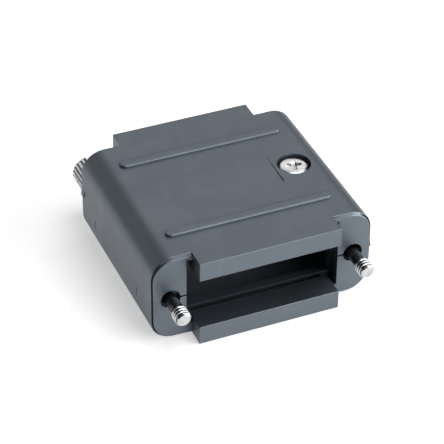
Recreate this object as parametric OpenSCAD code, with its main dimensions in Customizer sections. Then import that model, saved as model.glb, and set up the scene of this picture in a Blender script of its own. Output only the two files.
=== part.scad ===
// Two-ended d-sub hood for 15-way connectors: two moulded half shells that clamp a connector
// behind each end wall, a closing screw, and two long jackscrews that run right through.
// X runs across the connectors, +Y to the knurled heads and +Z up.
// The origin is the middle of the underside.

/* [Hood] */
// Depth between the two end faces, without the tabs
hood_d = 33.9; // [30:0.1:45]
// Height of the closed hood
hood_h = 16.8; // [16.4:0.1:19]
// Radius of the four long edges
corner_r = 4.2; // [3:0.1:5]
// Chamfer round each end face
end_chamfer = 0.5; // [0.2:0.1:0.8]
// Thickness of the side walls between the bulkheads
side_wall = 1.5; // [1.3:0.1:1.7]
// Thickness left in the side walls beside a connector's flange
pocket_wall = 0.43; // [0.3:0.01:1]
// Thickness of the roof and the floor
skin_t = 1.9; // [1.5:0.1:2]

/* [Connector seats] */
// Width of the connector's flange
flange_w = 39.14; // [38:0.02:39.3]
// Height of the connector's flange
flange_h = 12.55; // [12:0.05:12.8]
// Thickness of the connector's flange
flange_t = 1.1; // [0.8:0.1:2]
// Corner radius of the connector's flange
flange_r = 2.5; // [2.2:0.1:4]
// Gap left round the flange in its pocket
flange_gap = 0.1; // [0.05:0.05:0.15]
// Thickness of the end walls in front of the flanges
end_wall = 1.6; // [1.2:0.1:2.5]
// Thickness of the bulkheads behind the flanges
bulkhead_t = 1.5; // [1:0.1:2.5]
// How far an end wall's ears reach in over the flange
ear_reach = 5.77; // [5.2:0.01:6.2]
// Distance from the flange's edge to the axis of its jackscrew
jack_inset = 2.91; // [2.8:0.01:3]
// Clear height of the opening between its two tabs
mouth_h = 9.7; // [9:0.1:10.4]
// How far the corners of the opening go on past the tabs' inner faces
notch_h = 1.1; // [0.4:0.1:1.4]

/* [Tabs] */
// Room between a tab and each side of its opening
tab_side_gap = 1; // [0.6:0.05:3]
// How far a tab stands out of the end face
tab_reach = 3.2; // [1:0.1:5]
// Radius of the fillet where a tab leaves the end face
tab_fillet = 0.4; // [0.2:0.1:0.6]

/* [Roof details] */
// Distance from each side wall to the tip of a rib
rib_side_inset = 5; // [4.2:0.1:10]
// Width of a rib
rib_w = 2; // [1:0.1:3]
// Height of a rib above the roof
rib_h = 0.45; // [0.2:0.05:0.8]
// Distance from each end face to the middle of its rib
rib_inset = 6.35; // [4:0.05:9]
// Room between the label field and the closing screw's counterbore
label_gap = 0.6; // [0.2:0.1:4]
// Length of the label field, front to back
label_d = 8; // [4:0.1:10]
// Depth of the label field
label_depth = 0.25; // [0.1:0.05:0.5]

/* [Shell joint] */
// Gap between the shells where they meet beside each opening
ear_gap = 0.3; // [0.1:0.02:0.5]
// Thickness of the tongue along the lower shell's side walls
tongue_t = 0.6; // [0.4:0.1:0.8]
// Height of the tongue
tongue_h = 0.7; // [0.4:0.1:1.2]
// Room between the tongue's ends and the latch hooks
tongue_room = 0.4; // [0.4:0.1:3]
// Gap round the tongue and the latch hooks
joint_gap = 0.1; // [0.05:0.05:0.15]
// Distance from each bulkhead to the middle of its latch hook
latch_inset = 2.6; // [1.8:0.05:4]
// Width of a latch hook
latch_w = 3; // [2:0.1:3.6]
// Thickness of a latch hook
latch_t = 0.7; // [0.6:0.05:0.75]
// How far a latch hook hangs below the parting plane
latch_len = 3.4; // [2.6:0.1:3.8]
// How far a hook's barb stands out
latch_barb = 0.3; // [0.15:0.05:0.3]
// Height of a hook's barb
latch_barb_h = 1.2; // [0.8:0.1:1.6]
// Width of the moulding slit that shows at each latch
slit_w = 0.25; // [0.2:0.05:0.8]
// Height of the moulding slit
slit_h = 1.6; // [1:0.1:2]
// How far the pry nubs stand out of the side walls
nub_out = 0.25; // [0.1:0.05:0.5]
// Height of the pry nubs above the parting plane
nub_h = 1.5; // [0.8:0.1:2.5]
// Length of the pry nubs along the hood
nub_len = 1.2; // [0.6:0.1:3]

/* [Jackscrews] */
// Outer diameter of the thread
thread_d = 2.84; // [2.5:0.02:3]
// Length of the threaded stretch
thread_len = 2.8; // [2:0.1:5]
// How far the thread's tip stands out of the front face
thread_reach = 5.9; // [4:0.1:8]
// Diameter of the plain shank
shank_d = 2.2; // [2:0.1:2.6]
// Gap between the shank and its guides in the bulkheads
guide_gap = 0.1; // [0.05:0.05:0.2]
// Diameter of the jackscrew holes in the end walls
jack_hole_d = 3.45; // [3.1:0.05:3.6]
// Diameter over the knurled head
head_d = 6; // [5:0.1:6.4]
// Length of the knurled head
head_len = 6; // [4:0.1:10]
// Gap between the head and the rear face
head_gap = 0.15; // [0.1:0.05:0.4]
// Chamfer at both ends of the head
head_chamfer = 0.4; // [0.2:0.05:0.8]
// Number of ridges round the head
knurl_count = 24; // [16:1:36]
// Depth of the knurl
knurl_depth = 0.28; // [0.15:0.01:0.4]
// Width of the driver slot across the head
slot_w = 0.9; // [0.6:0.1:1.4]
// Depth of the driver slot
slot_depth = 1.2; // [0.6:0.1:2]

/* [Closing screw] */
// Outer diameter of the closing screw's thread
screw_d = 2.8; // [2.4:0.05:2.9]
// Length of the closing screw under its head
screw_len = 11.2; // [8:0.1:11.8]
// Length of the closing screw's point
screw_point = 1.2; // [0.6:0.1:2]
// Diameter of the pan head
pan_d = 5.2; // [5:0.1:5.8]
// Height of the pan head
pan_h = 1.7; // [1.5:0.1:2]
// Height of the pan head's upright rim
rim_h = 1.3; // [0.8:0.1:1.4]
// Span of the cross recess in the pan head
cross_span = 3.1; // [2.4:0.1:3.6]
// Span of the cross recess at its foot
cross_foot = 1.2; // [0.8:0.1:1.6]
// Width of one wing of the cross recess
cross_w = 0.75; // [0.5:0.05:1]
// Depth of the cross recess
cross_depth = 1.1; // [0.8:0.1:1.2]
// Angle that the closing screw happens to stand at
cross_turn = -12; // [-45:1:45]
// Gap round the pan head in its counterbore
pan_gap = 0.4; // [0.2:0.05:0.5]
// Depth of the counterbore for the pan head
counterbore = 1.9; // [1.7:0.1:2.1]
// Gap round the closing screw's thread in the upper shell
screw_gap = 0.1; // [0.05:0.05:0.15]
// Gap round the closing screw's thread in its pilot bore
pilot_gap = 0.03; // [0.02:0.01:0.06]
// Depth of the pilot bore past the screw's point
pilot_room = 0.4; // [0.2:0.1:1]
// Wall of the screw bosses
boss_wall = 0.7; // [0.6:0.05:0.8]
// Thickness of the seat below the pan head
cup_t = 1.2; // [0.8:0.1:1.5]
// Gap between the bosses and the right jackscrew's shank
boss_gap = 0.2; // [0.14:0.02:0.6]

/* [Hidden] */
$fn = 96;
plastic = [0.17, 0.18, 0.19];
steel = [0.8, 0.8, 0.79];

// Widths and levels that several parts share
hood_w = flange_w + 2 * (flange_gap + pocket_wall);
port_w = flange_w - 2 * ear_reach;
tab_w = port_w - 2 * tab_side_gap;
split_z = hood_h / 2;
end_y = hood_d / 2;
wall_x = hood_w / 2 - side_wall;
tab_t = (hood_h - mouth_h) / 2;
rib_y = end_y - rib_inset;
over = 1;

// Connector pockets, bulkheads and the chamber between them
pocket_w = flange_w + 2 * flange_gap;
pocket_h = flange_h + 2 * flange_gap;
pocket_t = flange_t + 2 * flange_gap;
pocket_r = flange_r + flange_gap;
pocket_y = end_y - end_wall - pocket_t / 2;
bulkhead_y = end_y - end_wall - pocket_t - bulkhead_t / 2;
chamber_end_y = bulkhead_y - bulkhead_t / 2;
chamber_r = corner_r - side_wall;

// Joint between the shells
latch_y = chamber_end_y - latch_inset;
hook_tip_z = split_z - latch_len;
hook_x = wall_x + latch_t;
slit_z = hook_tip_z + latch_barb_h - joint_gap;
tongue_len = 2 * (latch_y - latch_w / 2 - tongue_room);

// Jackscrews
jack_x = flange_w / 2 - jack_inset;
guide_d = shank_d + 2 * guide_gap;
thread_tip_y = -end_y - thread_reach;
thread_step = (thread_d - shank_d) / 2;
head_y = end_y + head_gap;

// Closing screw and its bosses
pan_z = hood_h - counterbore;
screw_tip_z = pan_z - screw_len;
bore_d = screw_d + 2 * screw_gap;
boss_d = bore_d + 2 * boss_wall;
screw_x = jack_x - shank_d / 2 - boss_gap - boss_d / 2;
counterbore_d = pan_d + 2 * pan_gap;
cup_d = counterbore_d + 2 * boss_wall;
pilot_d = screw_d + 2 * pilot_gap;
pilot_z = screw_tip_z - pilot_room;
label_w = 2 * (screw_x - counterbore_d / 2 - label_gap);

// Section of a bar's core: a rectangle with its four corners cut back by c
function cut_rectangle(len, h, c) = c > 0
    ? [[0, c], [c, 0], [len - c, 0], [len, c], [len, h - c], [len - c, h], [c, h], [0, h - c]]
    : [[0, 0], [len, 0], [len, h], [0, h]];

// Half section of a bar's edge, from its axis out to r, with both ends cut back by c
function cut_strip(r, len, c) = c > 0
    ? [[0, 0], [r - c, 0], [r, c], [r, len - c], [r - c, len], [0, len]]
    : [[0, 0], [r, 0], [r, len], [0, len]];

// Outline of a straight knurl with pointed ridges
function knurl_ring(r, depth, count) =
    [for (i = [0 : 2 * count - 1]) let (a = 180 * i / count, reach = r - (i % 2) * depth)
        [reach * cos(a), reach * sin(a)]];

// Bar along Y, centred on x and y and standing on z = 0, with its long edges rounded by r
// and its ends chamfered by c
module rounded_bar(w, d, h, r, c) {
    core_w = w - 2 * r;
    translate([-core_w / 2, -d / 2, 0])
        rotate([90, 0, 90])
            linear_extrude(core_w)
                polygon(cut_rectangle(d, h, c));
    for (side = [0, 1]) mirror([side, 0, 0]) {
        translate([core_w / 2, -d / 2, r])
            linear_extrude(h - 2 * r)
                polygon(cut_strip(r, d, c));
        for (level = [0, 1])
            translate([core_w / 2, -d / 2, level == 0 ? r : h - r])
                mirror([0, 0, level])
                    rotate([-90, 0, 0])
                        rotate_extrude(angle = 90)
                            polygon(cut_strip(r, d, c));
    }
}

// Box between two corners
module block(low, high) {
    translate(low) cube(high - low);
}

// Round rod or bore along Y from y0 to y1, at the height of the parting plane
module rod_y(x, d, y0, y1) {
    translate([x, y0, split_z])
        rotate([-90, 0, 0])
            cylinder(h = y1 - y0, d = d);
}

// Upright post or bore on the closing screw's axis from z0 to z1
module post(d, z0, z1) {
    translate([screw_x, 0, z0]) cylinder(h = z1 - z0, d = d);
}

// Section across X, drawn as x and z, carried along Y over a length centred on y
module along_y(y, len) {
    translate([0, y + len / 2, 0])
        rotate([90, 0, 0])
            linear_extrude(len)
                children();
}

// Copies at the front and the rear
module both_ends() {
    for (end = [0, 1]) mirror([0, end, 0]) children();
}

// Copies at the left and the right
module both_sides() {
    for (side = [0, 1]) mirror([side, 0, 0]) children();
}

// Tab below the front opening, with a fillet at each side of its root above the end chamfer
module tab() {
    block([-tab_w / 2, -end_y - tab_reach, 0], [tab_w / 2, -end_y + end_wall, tab_t]);
    both_sides()
        translate([tab_w / 2, -end_y, end_chamfer])
            linear_extrude(tab_t - end_chamfer)
                difference() {
                    translate([0, -tab_fillet]) square(tab_fillet);
                    translate([tab_fillet, -tab_fillet]) circle(tab_fillet);
                }
}

// Opening in the front wall, the pocket for the connector's flange and the window behind it
module connector_seat() {
    block([-port_w / 2, -end_y - over, tab_t - notch_h], [port_w / 2, -pocket_y, hood_h]);
    translate([0, -pocket_y, (hood_h - pocket_h) / 2])
        rounded_bar(pocket_w, pocket_t, pocket_h, pocket_r, 0);
    block([-port_w / 2, -pocket_y, tab_t], [port_w / 2, -chamber_end_y + over, hood_h]);
}

// Holes and guides for the jackscrews, and the gap between the shells beside each opening
module jackscrew_ways() {
    both_sides() both_ends() {
        rod_y(jack_x, jack_hole_d, -end_y - over, -pocket_y);
        rod_y(jack_x, guide_d, -pocket_y, -chamber_end_y + over);
        block([port_w / 2 - over, -end_y - over, split_z - ear_gap / 2],
              [jack_x, -pocket_y, split_z + ear_gap / 2]);
    }
}

// What the two shells share, as the lower one: half the hood, hollowed out from its joint
module half_shell() {
    difference() {
        union() {
            difference() {
                intersection() {
                    rounded_bar(hood_w, hood_d, hood_h, corner_r, end_chamfer);
                    block([-hood_w, -hood_d, -over], [hood_w, hood_d, split_z]);
                }
                translate([0, 0, skin_t])
                    rounded_bar(2 * wall_x, 2 * chamber_end_y, hood_h - 2 * skin_t, chamber_r, 0);
                both_ends() connector_seat();
            }
            both_ends() tab();
        }
        jackscrew_ways();
    }
}

// Half-round section of a rib, and its right half
module rib_section(left) {
    rib_r = (rib_w * rib_w / 4 + rib_h * rib_h) / (2 * rib_h);
    intersection() {
        translate([0, rib_h - rib_r]) circle(rib_r);
        translate([left, 0]) square([rib_w / 2 - left, rib_h]);
    }
}

// Half-round rib across the roof, with round ends
module roof_rib() {
    straight = hood_w - 2 * rib_side_inset - rib_w;
    translate([-straight / 2, -rib_y, hood_h])
        rotate([90, 0, 90])
            linear_extrude(straight)
                rib_section(-rib_w / 2);
    both_sides()
        translate([straight / 2, -rib_y, hood_h])
            rotate([0, 0, -90])
                rotate_extrude(angle = 180)
                    rib_section(0);
}

// Snap hook that hangs from the upper shell inside the left wall
module latch_hook() {
    along_y(-latch_y, latch_w)
        polygon([[-wall_x, split_z + over], [-wall_x, hook_tip_z], [-hook_x, hook_tip_z],
                 [-hook_x - latch_barb, hook_tip_z + latch_barb_h / 2],
                 [-hook_x - latch_barb, hook_tip_z + latch_barb_h],
                 [-hook_x, hook_tip_z + latch_barb_h], [-hook_x, split_z + over]]);
}

// Pocket for a snap hook in the lower shell, with the catch for its barb and the slit
// through the wall
module latch_pocket() {
    half_w = latch_w / 2 + joint_gap;
    low_z = hook_tip_z - joint_gap;
    block([-hook_x - joint_gap, -latch_y - half_w, low_z],
          [-wall_x + over, -latch_y + half_w, split_z + over]);
    block([-hook_x - latch_barb - joint_gap, -latch_y - half_w, low_z],
          [-wall_x, -latch_y + half_w, hook_tip_z + latch_barb_h + joint_gap]);
    block([-hood_w / 2 - over, -latch_y - slit_w / 2, slit_z - slit_h / 2],
          [-wall_x, -latch_y + slit_w / 2, slit_z + slit_h / 2]);
}

// Wedge on the upper shell's side wall, at the parting plane near an end
module pry_nub() {
    along_y(-end_y + end_chamfer + nub_len / 2, nub_len)
        polygon([[hood_w / 2 - side_wall / 2, split_z], [hood_w / 2 + nub_out, split_z],
                 [hood_w / 2, split_z + nub_h], [hood_w / 2 - side_wall / 2, split_z + nub_h]]);
}

// Tongue along the right wall of the lower shell, or the room for it with a gap round it
module tongue(gap) {
    block([wall_x - (gap > 0 ? over : 0), -tongue_len / 2 - gap, split_z - over],
          [wall_x + tongue_t + gap, tongue_len / 2 + gap, split_z + tongue_h + gap]);
}

module upper_shell() {
    color(plastic)
    difference() {
        union() {
            translate([0, 0, hood_h]) mirror([0, 0, 1]) half_shell();
            post(boss_d, split_z, hood_h - skin_t / 2);
            post(cup_d, pan_z - cup_t, hood_h - skin_t / 2);
            both_ends() roof_rib();
            both_ends() latch_hook();
            both_sides() both_ends() pry_nub();
        }
        both_sides() tongue(joint_gap);
        post(bore_d, split_z - over, pan_z + over);
        post(counterbore_d, pan_z, hood_h + over);
        block([-label_w / 2, -label_d / 2, hood_h - label_depth],
              [label_w / 2, label_d / 2, hood_h + over]);
    }
}

module lower_shell() {
    color(plastic)
    difference() {
        union() {
            half_shell();
            post(boss_d, skin_t / 2, split_z);
            both_sides() tongue(0);
        }
        post(pilot_d, pilot_z, split_z + over);
        both_ends() latch_pocket();
    }
}

// Cross recess for the driver: two crossed wings that narrow towards their foot
module cross_recess() {
    for (turn = [0, 90]) rotate([0, 0, turn + cross_turn])
        translate([0, cross_w / 2, 0])
            rotate([90, 0, 0])
                linear_extrude(cross_w)
                    polygon([[-cross_span / 2, 0], [-cross_foot / 2, -cross_depth],
                             [cross_foot / 2, -cross_depth], [cross_span / 2, 0],
                             [cross_span / 2, over], [-cross_span / 2, over]]);
}

module closing_screw() {
    dome = [for (a = [0 : 15 : 90])
        [pan_d / 2 * cos(a), pan_z + rim_h + (pan_h - rim_h) * sin(a)]];
    color(steel)
    translate([screw_x, 0, 0])
        difference() {
            rotate_extrude()
                polygon(concat([[0, screw_tip_z], [screw_d / 2, screw_tip_z + screw_point],
                                [screw_d / 2, pan_z], [pan_d / 2, pan_z]], dome));
            translate([0, 0, pan_z + pan_h]) cross_recess();
        }
}

// Knurled head with a driver slot, standing on z = 0
module knurled_head() {
    foot_r = head_d / 2 - head_chamfer;
    difference() {
        intersection() {
            linear_extrude(head_len)
                polygon(knurl_ring(head_d / 2, knurl_depth, knurl_count));
            rotate_extrude()
                polygon([[0, 0], [foot_r, 0], [foot_r + head_len / 2, head_len / 2],
                         [foot_r, head_len], [0, head_len]]);
        }
        block([-slot_w / 2, -head_d, head_len - slot_depth], [slot_w / 2, head_d, head_len + over]);
    }
}

// Jackscrew from the thread's tip in front to the knurled head behind
module jackscrew(x) {
    tip_r = shank_d / 2;
    thread_r = thread_d / 2;
    thread_end_y = thread_tip_y + thread_len;
    color(steel)
    translate([x, 0, split_z])
        rotate([-90, 0, 0]) {
            rotate_extrude()
                polygon([[0, thread_tip_y], [tip_r, thread_tip_y],
                         [thread_r, thread_tip_y + thread_step],
                         [thread_r, thread_end_y - thread_step], [tip_r, thread_end_y],
                         [tip_r, head_y], [0, head_y]]);
            translate([0, 0, head_y]) knurled_head();
        }
}

module left_jackscrew() {
    jackscrew(-jack_x);
}

module right_jackscrew() {
    jackscrew(jack_x);
}

upper_shell();
lower_shell();
closing_screw();
left_jackscrew();
right_jackscrew();
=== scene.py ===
"""Looks of a two-ended d-sub hood: two moulded half shells, their closing screw and two jackscrews.

Lengths are in metres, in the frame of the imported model: X runs across the connectors, +Y to the
knurled heads and +Z up. The origin is the middle of the underside.
"""

import logging
import math
from collections.abc import Callable
from dataclasses import dataclass, field
from enum import Enum
from typing import Any

import bmesh
import bpy
import numpy as np
from mathutils import Matrix, Vector


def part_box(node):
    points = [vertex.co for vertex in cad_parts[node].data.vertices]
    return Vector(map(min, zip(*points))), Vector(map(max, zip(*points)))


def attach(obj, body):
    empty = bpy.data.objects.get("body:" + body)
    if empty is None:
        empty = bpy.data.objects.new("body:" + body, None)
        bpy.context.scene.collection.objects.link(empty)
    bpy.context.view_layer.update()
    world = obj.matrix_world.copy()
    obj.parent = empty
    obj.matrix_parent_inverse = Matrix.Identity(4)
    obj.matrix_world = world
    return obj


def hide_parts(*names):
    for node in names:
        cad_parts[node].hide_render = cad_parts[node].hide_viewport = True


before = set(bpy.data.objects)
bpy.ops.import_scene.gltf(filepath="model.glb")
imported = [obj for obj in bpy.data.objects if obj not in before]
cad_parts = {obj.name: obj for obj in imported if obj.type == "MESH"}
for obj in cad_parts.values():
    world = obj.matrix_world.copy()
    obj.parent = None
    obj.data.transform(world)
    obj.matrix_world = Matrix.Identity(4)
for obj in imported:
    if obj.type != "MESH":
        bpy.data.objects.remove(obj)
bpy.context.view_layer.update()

LOG = logging.getLogger("hood")
MM = 0.001
FULL_TURN = 2 * math.pi
CREASE = 35.0  # edges of the turned pieces that turn more than this, in degrees, stay sharp
WEAR = "edge_wear"
# painted shade: faces marked with this attribute get a darker colour, standing in for shade in hollows
# and creases
PAINTED_SHADE = "painted_shade"
REGION = "region"
BEVEL_WEIGHT = "bevel_weight_edge"
FLAT = 0  # material index of the faces that stay as they were loaded
ROUNDED = 1  # material index of the faces that round an edge

Point = tuple[float, float, float]
Colour = tuple[float, float, float, float]
Ring = list[bmesh.types.BMVert]
Node = bpy.types.Node
Socket = bpy.types.NodeSocket
Value = Socket | float
Tint = Socket | Colour


class Body(Enum):
    """The bodies that pieces ride on."""

    HOOD = "hood"
    LEFT = "left_jackscrew"
    RIGHT = "right_jackscrew"


class Slot(Enum):
    """The record's material slots."""

    PLASTIC = "black_plastic"
    SCREW = "screw_steel"
    JACKSCREW = "jackscrew_metal"


def grey(level: float, blue: float = 0.0) -> Colour:
    """A linear grey; blue above 0 cools it, shifting red down and blue up by that share."""
    return (level * (1 - blue), level, level * (1 + blue), 1.0)


# Meshes


def smooth_piece(name: str, bm: bmesh.types.BMesh, crease: float = CREASE) -> bpy.types.Object:
    """Makes an object of a finished mesh, smooth up to a crease angle.

    Args:
        name: The piece's name.
        bm: The mesh, which is freed.
        crease: Edges that turn more than this, in degrees, stay sharp.

    Returns:
        The object, linked to the scene.
    """
    mesh = bpy.data.meshes.new(name)
    bm.to_mesh(mesh)
    bm.free()
    mesh.shade_smooth()
    mesh.set_sharp_from_angle(angle=math.radians(crease))
    piece = bpy.data.objects.new(name, mesh)
    bpy.context.scene.collection.objects.link(piece)
    return piece


def apply_modifiers(piece: bpy.types.Object) -> None:
    """Replaces a piece's mesh by what its modifiers make of it.

    Args:
        piece: The piece, which has no modifiers afterwards.
    """
    evaluated = piece.evaluated_get(bpy.context.evaluated_depsgraph_get())
    mesh = bpy.data.meshes.new_from_object(evaluated)
    piece.modifiers.clear()
    piece.data = mesh


def cut(piece: bpy.types.Object, tool: bpy.types.Object) -> None:
    """Cuts a shape out of a piece.

    Args:
        piece: The piece, whose mesh is replaced.
        tool: The shape, which is removed afterwards.
    """
    modifier = piece.modifiers.new("cut", "BOOLEAN")
    modifier.operation = "DIFFERENCE"
    modifier.solver = "EXACT"
    modifier.object = tool
    apply_modifiers(piece)
    bpy.data.objects.remove(tool)


def wall(bm: bmesh.types.BMesh, rings: list[Ring]) -> None:
    """Joins closed rings into a wall with open ends.

    Args:
        bm: The mesh to add to.
        rings: Rings of equal length, from one end to the other.
    """
    for low, high in zip(rings, rings[1:]):
        for i in range(len(low)):
            j = (i + 1) % len(low)
            bm.faces.new((low[i], low[j], high[j], high[i]))


def skin(bm: bmesh.types.BMesh, rings: list[Ring]) -> None:
    """Joins closed rings into a wall, and closes both ends with flat faces.

    Args:
        bm: The mesh to add to.
        rings: Rings of equal length, from one end to the other.
    """
    wall(bm, rings)
    bm.faces.new(list(reversed(rings[0])))
    bm.faces.new(rings[-1])


def lathe(profile: list[tuple[float, float]], steps: int) -> bmesh.types.BMesh:
    """Turns a profile about Z.

    Args:
        profile: Radius and height of each ring, from the lower end to the upper one.
        steps: Points round each ring.

    Returns:
        A closed mesh with flat ends.
    """
    bm = bmesh.new()
    rings = []
    for radius, height in profile:
        angles = [FULL_TURN * i / steps for i in range(steps)]
        rings.append(
            [bm.verts.new((radius * math.cos(a), radius * math.sin(a), height)) for a in angles]
        )
    skin(bm, rings)
    return bm


def ease(share: float) -> float:
    """A share from 0 to 1, smoothed at both ends and held to that range."""
    share = min(1.0, max(0.0, share))
    return share * share * (3 - 2 * share)


@dataclass(frozen=True)
class HelicalThread:
    """A rolled thread about Z, with a chamfered start and a run-out into its shank."""

    crest_r: float
    root_r: float
    shank_r: float
    pitch: float
    start: float
    end: float
    tip_r: float
    crest_share: float = 0.18
    root_share: float = 0.2
    rows: int = 10
    columns: int = 48

    def profile(self, phase: float) -> float:
        """Radius along one pitch, with the crest in the middle.

        Args:
            phase: Share of the pitch, from 0 to 1.

        Returns:
            The radius of the full thread there.
        """
        away = abs(phase - 0.5) - self.crest_share / 2
        flank = 0.5 - self.crest_share / 2 - self.root_share / 2
        return self.crest_r - (self.crest_r - self.root_r) * min(1.0, max(0.0, away / flank))

    def radius(self, phase: float, height: float) -> float:
        """Radius of the threaded stretch, limited at both ends.

        Args:
            phase: Share of the pitch, from 0 to 1.
            height: Height along the axis.

        Returns:
            The radius there.
        """
        run_out = ease((self.end - height) / self.pitch)
        threaded = self.shank_r + (self.profile(phase) - self.shank_r) * run_out
        return min(threaded, self.tip_r + (height - self.start))

    def add_to(self, bm: bmesh.types.BMesh) -> tuple[Ring, Ring]:
        """Adds the thread's surface to a mesh, in strips that follow the helix.

        Args:
            bm: The mesh to add to.

        Returns:
            The lowest and the highest ring of vertices.
        """
        turns = math.ceil((self.end - self.start) / self.pitch)
        levels = range(-self.rows, (turns + 1) * self.rows + 1)
        grid = []
        for column in range(self.columns):
            share = column / self.columns
            angle = FULL_TURN * share
            line = {}
            for level in levels:
                height = self.start + self.pitch * (level / self.rows + share)
                held = min(self.end, max(self.start, height))
                radius = self.radius(level % self.rows / self.rows, held)
                line[level] = (radius * math.cos(angle), radius * math.sin(angle), held)
            grid.append(line)
        made: dict[tuple[int, Point], bmesh.types.BMVert] = {}

        def vertex(column: int, level: int) -> bmesh.types.BMVert:
            """Finds or makes the vertex of a grid place; the ends hold several at one point.

            Args:
                column: The place's column.
                level: Its level.

            Returns:
                The vertex.
            """
            key = (column, grid[column][level])
            if key not in made:
                made[key] = bm.verts.new(grid[column][level])
            return made[key]

        for column in range(self.columns):
            wraps = column == self.columns - 1
            following = 0 if wraps else column + 1
            step = self.rows if wraps else 0
            for level in levels[: len(levels) - 1 - step]:
                corners = [
                    vertex(column, level),
                    vertex(following, level + step),
                    vertex(following, level + 1 + step),
                    vertex(column, level + 1),
                ]
                unique = list(dict.fromkeys(corners))
                if len(unique) > 2:
                    bm.faces.new(unique)
        low = [vertex(column, levels[0]) for column in range(self.columns)]
        high = [vertex(column, levels[-1]) for column in range(self.columns)]
        return low, high


# Shader nodes


class Bench:
    """Adds nodes to one tree and links them, so that a material reads from top to bottom."""

    def __init__(self, tree: bpy.types.NodeTree) -> None:
        """Keeps the tree, and empties it."""
        self.tree = tree
        tree.nodes.clear()

    def add(self, kind: str, inputs: dict[str | int, Any] | None = None, **settings: Any) -> Node:
        """Adds a node.

        Args:
            kind: The node's type.
            inputs: Values or sockets for its inputs, by name or number.
            settings: The node's own properties.

        Returns:
            The node.
        """
        node = self.tree.nodes.new(kind)
        for name, value in settings.items():
            setattr(node, name, value)
        for key, value in (inputs or {}).items():
            if isinstance(value, bpy.types.NodeSocket):
                self.tree.links.new(value, node.inputs[key])
            else:
                node.inputs[key].default_value = value
        return node

    def maths(self, operation: str, *values: Value) -> Socket:
        """The result of a sum on up to three numbers or sockets."""
        node = self.add("ShaderNodeMath", dict(enumerate(values)), operation=operation)
        return node.outputs[0]

    def ramp(self, value: Socket, low: float, high: float, first: float, last: float) -> Socket:
        """The value carried smoothly from the range low to high to the range first to last."""
        inputs = {"Value": value, "From Min": low, "From Max": high, "To Min": first, "To Max": last}
        return self.add("ShaderNodeMapRange", inputs, interpolation_type="SMOOTHSTEP").outputs[0]

    def blend(self, share: Value, first: Tint, second: Tint) -> Socket:
        """The colour that lies between two colours by a share."""
        inputs = {0: share, 6: first, 7: second}
        return self.add("ShaderNodeMix", inputs, data_type="RGBA").outputs[2]

    def group(self, tree: bpy.types.NodeTree, inputs: dict[str, float]) -> Node:
        """Places a node group."""
        return self.add("ShaderNodeGroup", inputs, node_tree=tree)


def new_group(
    name: str, inputs: dict[str, float], outputs: list[str]
) -> tuple[bpy.types.NodeTree, Bench, Node]:
    """Starts a node group whose inputs and outputs are numbers.

    Args:
        name: The group's name.
        inputs: Its inputs with their usual values.
        outputs: The names of its outputs.

    Returns:
        The group, its bench and its input node.
    """
    tree = bpy.data.node_groups.new(name, "ShaderNodeTree")
    bench = Bench(tree)
    for label, value in inputs.items():
        socket = tree.interface.new_socket(label, in_out="INPUT", socket_type="NodeSocketFloat")
        socket.default_value = value
    for label in outputs:
        tree.interface.new_socket(label, in_out="OUTPUT", socket_type="NodeSocketFloat")
    return tree, bench, tree.nodes.new("NodeGroupInput")


def end_group(bench: Bench, values: list[Socket]) -> None:
    """Links the group's results to its outputs, in their order."""
    bench.add("NodeGroupOutput", dict(enumerate(values)))


def new_material(name: str) -> tuple[bpy.types.Material, Bench]:
    """Starts a material.

    Args:
        name: The material's name.

    Returns:
        The material and the bench of its nodes.
    """
    material = bpy.data.materials.new(name)
    material.use_nodes = True
    return material, Bench(material.node_tree)


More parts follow.
